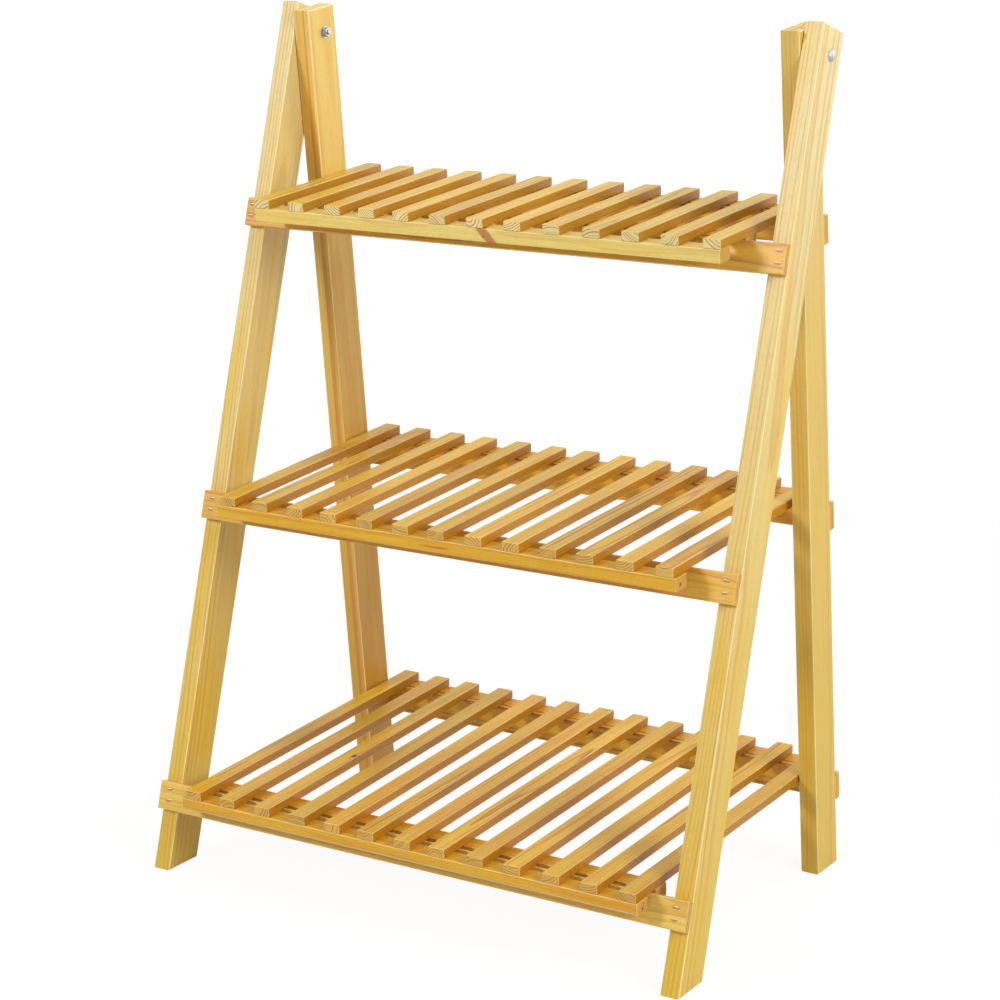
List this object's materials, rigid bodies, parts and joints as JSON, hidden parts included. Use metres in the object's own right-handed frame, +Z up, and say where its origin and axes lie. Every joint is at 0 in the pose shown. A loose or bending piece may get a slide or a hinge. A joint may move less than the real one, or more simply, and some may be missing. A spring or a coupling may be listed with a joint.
{
  "type": "plant ladder stand",
  "caption": "Folding A-frame plant stand of lacquered pine with tiers of loose slatted shelves resting on cross rails between leaning legs.",
  "frame": {"origin": "on the floor, below the centre of the stand's outline seen from above", "axes": "+Z up, -Y towards the open front where the front legs lean back from, +X to the right seen from the front"},
  "size_m": [0.7068, 0.4798, 0.9921],
  "materials": {
    "pine_leg": "clear satin lacquer, fine straight grain",
    "pine_rail": "clear satin lacquer",
    "pine_batten": "clear satin lacquer",
    "pine_slat": "clear satin lacquer, pale sawn ends",
    "zinc": "zinc plated, slightly dull"
  },
  "bodies": {
    "front_frame": {"front_leg_left": "pine_leg", "front_leg_right": "pine_leg", "bolt_left": "zinc", "washer_left": "zinc", "nut_left": "zinc", "bolt_right": "zinc", "washer_right": "zinc", "nut_right": "zinc", "front_rail_top": "pine_rail", "front_rail_middle": "pine_rail", "front_rail_bottom": "pine_rail"},
    "rear_frame": {"rear_leg_left": "pine_leg", "rear_leg_right": "pine_leg", "rear_rail_top": "pine_rail", "rear_rail_middle": "pine_rail", "rear_rail_bottom": "pine_rail"},
    "top_shelf": {"top_batten_front": "pine_batten", "top_batten_rear": "pine_batten", "top_slat_02": "pine_slat", "top_slat_03": "pine_slat", "top_slat_04": "pine_slat", "top_slat_05": "pine_slat", "top_slat_06": "pine_slat", "top_slat_07": "pine_slat", "top_slat_08": "pine_slat", "top_slat_09": "pine_slat", "top_slat_10": "pine_slat", "top_slat_11": "pine_slat", "top_slat_12": "pine_slat", "top_end_slats": "pine_slat"},
    "middle_shelf": {"middle_batten_front": "pine_batten", "middle_batten_rear": "pine_batten", "middle_slat_01": "pine_slat", "middle_slat_02": "pine_slat", "middle_slat_03": "pine_slat", "middle_slat_04": "pine_slat", "middle_slat_05": "pine_slat", "middle_slat_06": "pine_slat", "middle_slat_07": "pine_slat", "middle_slat_08": "pine_slat", "middle_slat_09": "pine_slat", "middle_slat_10": "pine_slat", "middle_slat_11": "pine_slat", "middle_slat_12": "pine_slat", "middle_slat_13": "pine_slat"},
    "bottom_shelf": {"bottom_batten_front": "pine_batten", "bottom_batten_rear": "pine_batten", "bottom_slat_02": "pine_slat", "bottom_slat_03": "pine_slat", "bottom_slat_04": "pine_slat", "bottom_slat_05": "pine_slat", "bottom_slat_06": "pine_slat", "bottom_slat_07": "pine_slat", "bottom_slat_08": "pine_slat", "bottom_slat_09": "pine_slat", "bottom_slat_10": "pine_slat", "bottom_slat_11": "pine_slat", "bottom_slat_12": "pine_slat", "bottom_end_slats": "pine_slat"}
  },
  "joints": [
    {"name": "frame_fold", "type": "hinge", "parent": "front_frame", "child": "rear_frame", "pos_m": [0, 0.08106, 0.956], "axis": [-1, 0, 0], "range_deg": [0, 22.3]},
    {"name": "top_shelf_lift", "type": "slide", "parent": "front_frame", "child": "top_shelf", "axis": [0, 0, 1], "range_m": [0, 0.15]},
    {"name": "middle_shelf_lift", "type": "slide", "parent": "front_frame", "child": "middle_shelf", "axis": [0, 0, 1], "range_m": [0, 0.27]},
    {"name": "bottom_shelf_lift", "type": "slide", "parent": "front_frame", "child": "bottom_shelf", "axis": [0, 0, 1], "range_m": [0, 0.27]}
  ],
  "couplings": [
    {"joint": "top_shelf_lift", "follows": "frame_fold", "m_per_rad": 0.38},
    {"joint": "middle_shelf_lift", "follows": "frame_fold", "m_per_rad": 0.69},
    {"joint": "bottom_shelf_lift", "follows": "frame_fold", "m_per_rad": 0.69}
  ]
}
